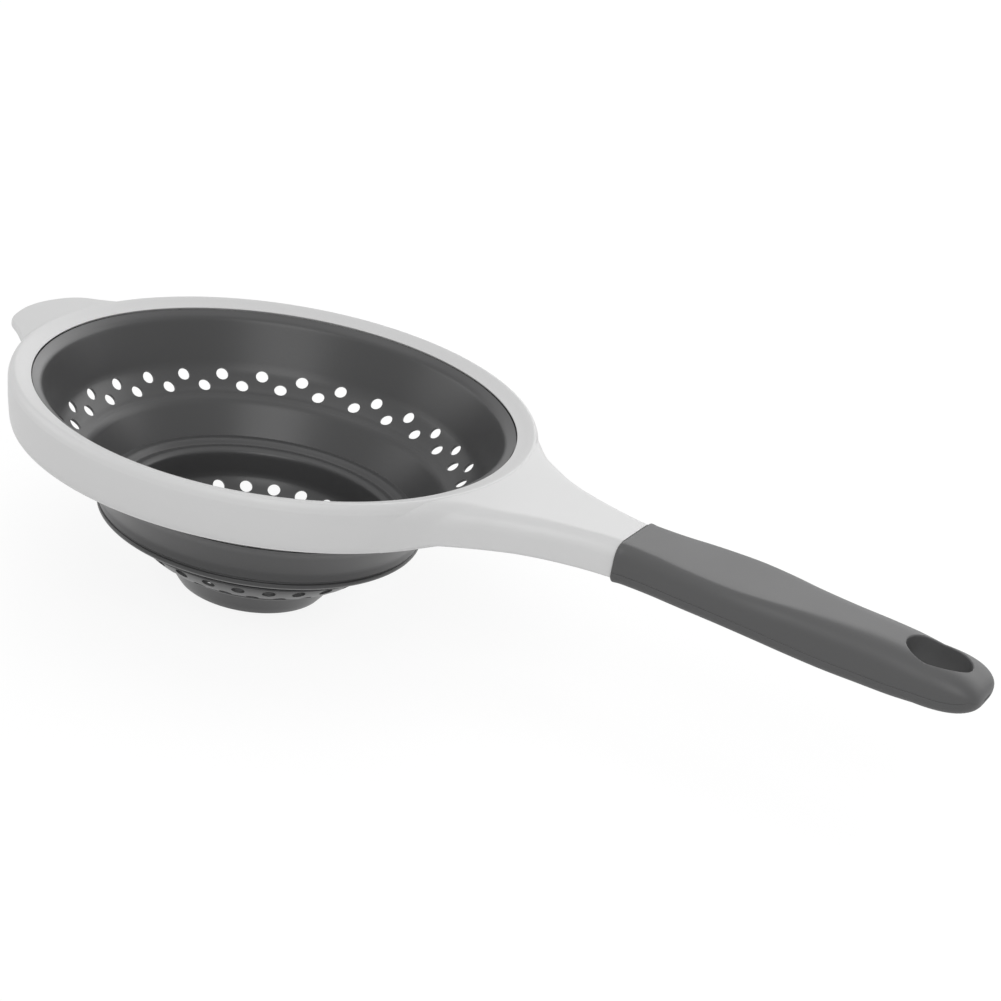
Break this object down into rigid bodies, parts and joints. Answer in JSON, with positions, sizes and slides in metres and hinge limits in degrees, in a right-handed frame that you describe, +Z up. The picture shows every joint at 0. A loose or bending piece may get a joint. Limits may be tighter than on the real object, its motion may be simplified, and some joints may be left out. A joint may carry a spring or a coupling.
{
  "type": "collapsible colander",
  "caption": "Hand-held colander with a rigid ring frame, long soft grip, helper tab and a stepped silicone bowl that folds up into the ring.",
  "frame": {"origin": "centre of the foot's flat underside, on the bowl's axis", "axes": "+X along the handle, away from the bowl; +Z up, out of the bowl's opening; +Y to the left of the handle seen from above"},
  "size_m": [0.3875, 0.192, 0.077],
  "materials": {
    "frame_plastic": "satin moulded light grey",
    "silicone": "satin moulded dark grey silicone",
    "soft_grip": "matt soft-touch overmould, dark grey"
  },
  "bodies": {
    "frame": {"ring_frame": "frame_plastic", "handle_neck": "frame_plastic", "helper_tab": "frame_plastic", "grip": "soft_grip", "bowl_rim_wall": "silicone", "upper_fold_band": "silicone"},
    "middle_tier": {"bowl_middle_wall": "silicone", "bowl_lower_wall": "silicone", "lower_fold_band": "silicone"},
    "foot_tier": {"bowl_foot_cup": "silicone"}
  },
  "joints": [
    {"name": "upper_fold", "type": "slide", "parent": "frame", "child": "middle_tier", "axis": [0, 0, 1], "range_m": [0, 0.0162], "deforming": ["upper_fold_band"]},
    {"name": "lower_fold", "type": "slide", "parent": "middle_tier", "child": "foot_tier", "axis": [0, 0, 1], "range_m": [0, 0.0212], "deforming": ["lower_fold_band"]}
  ]
}
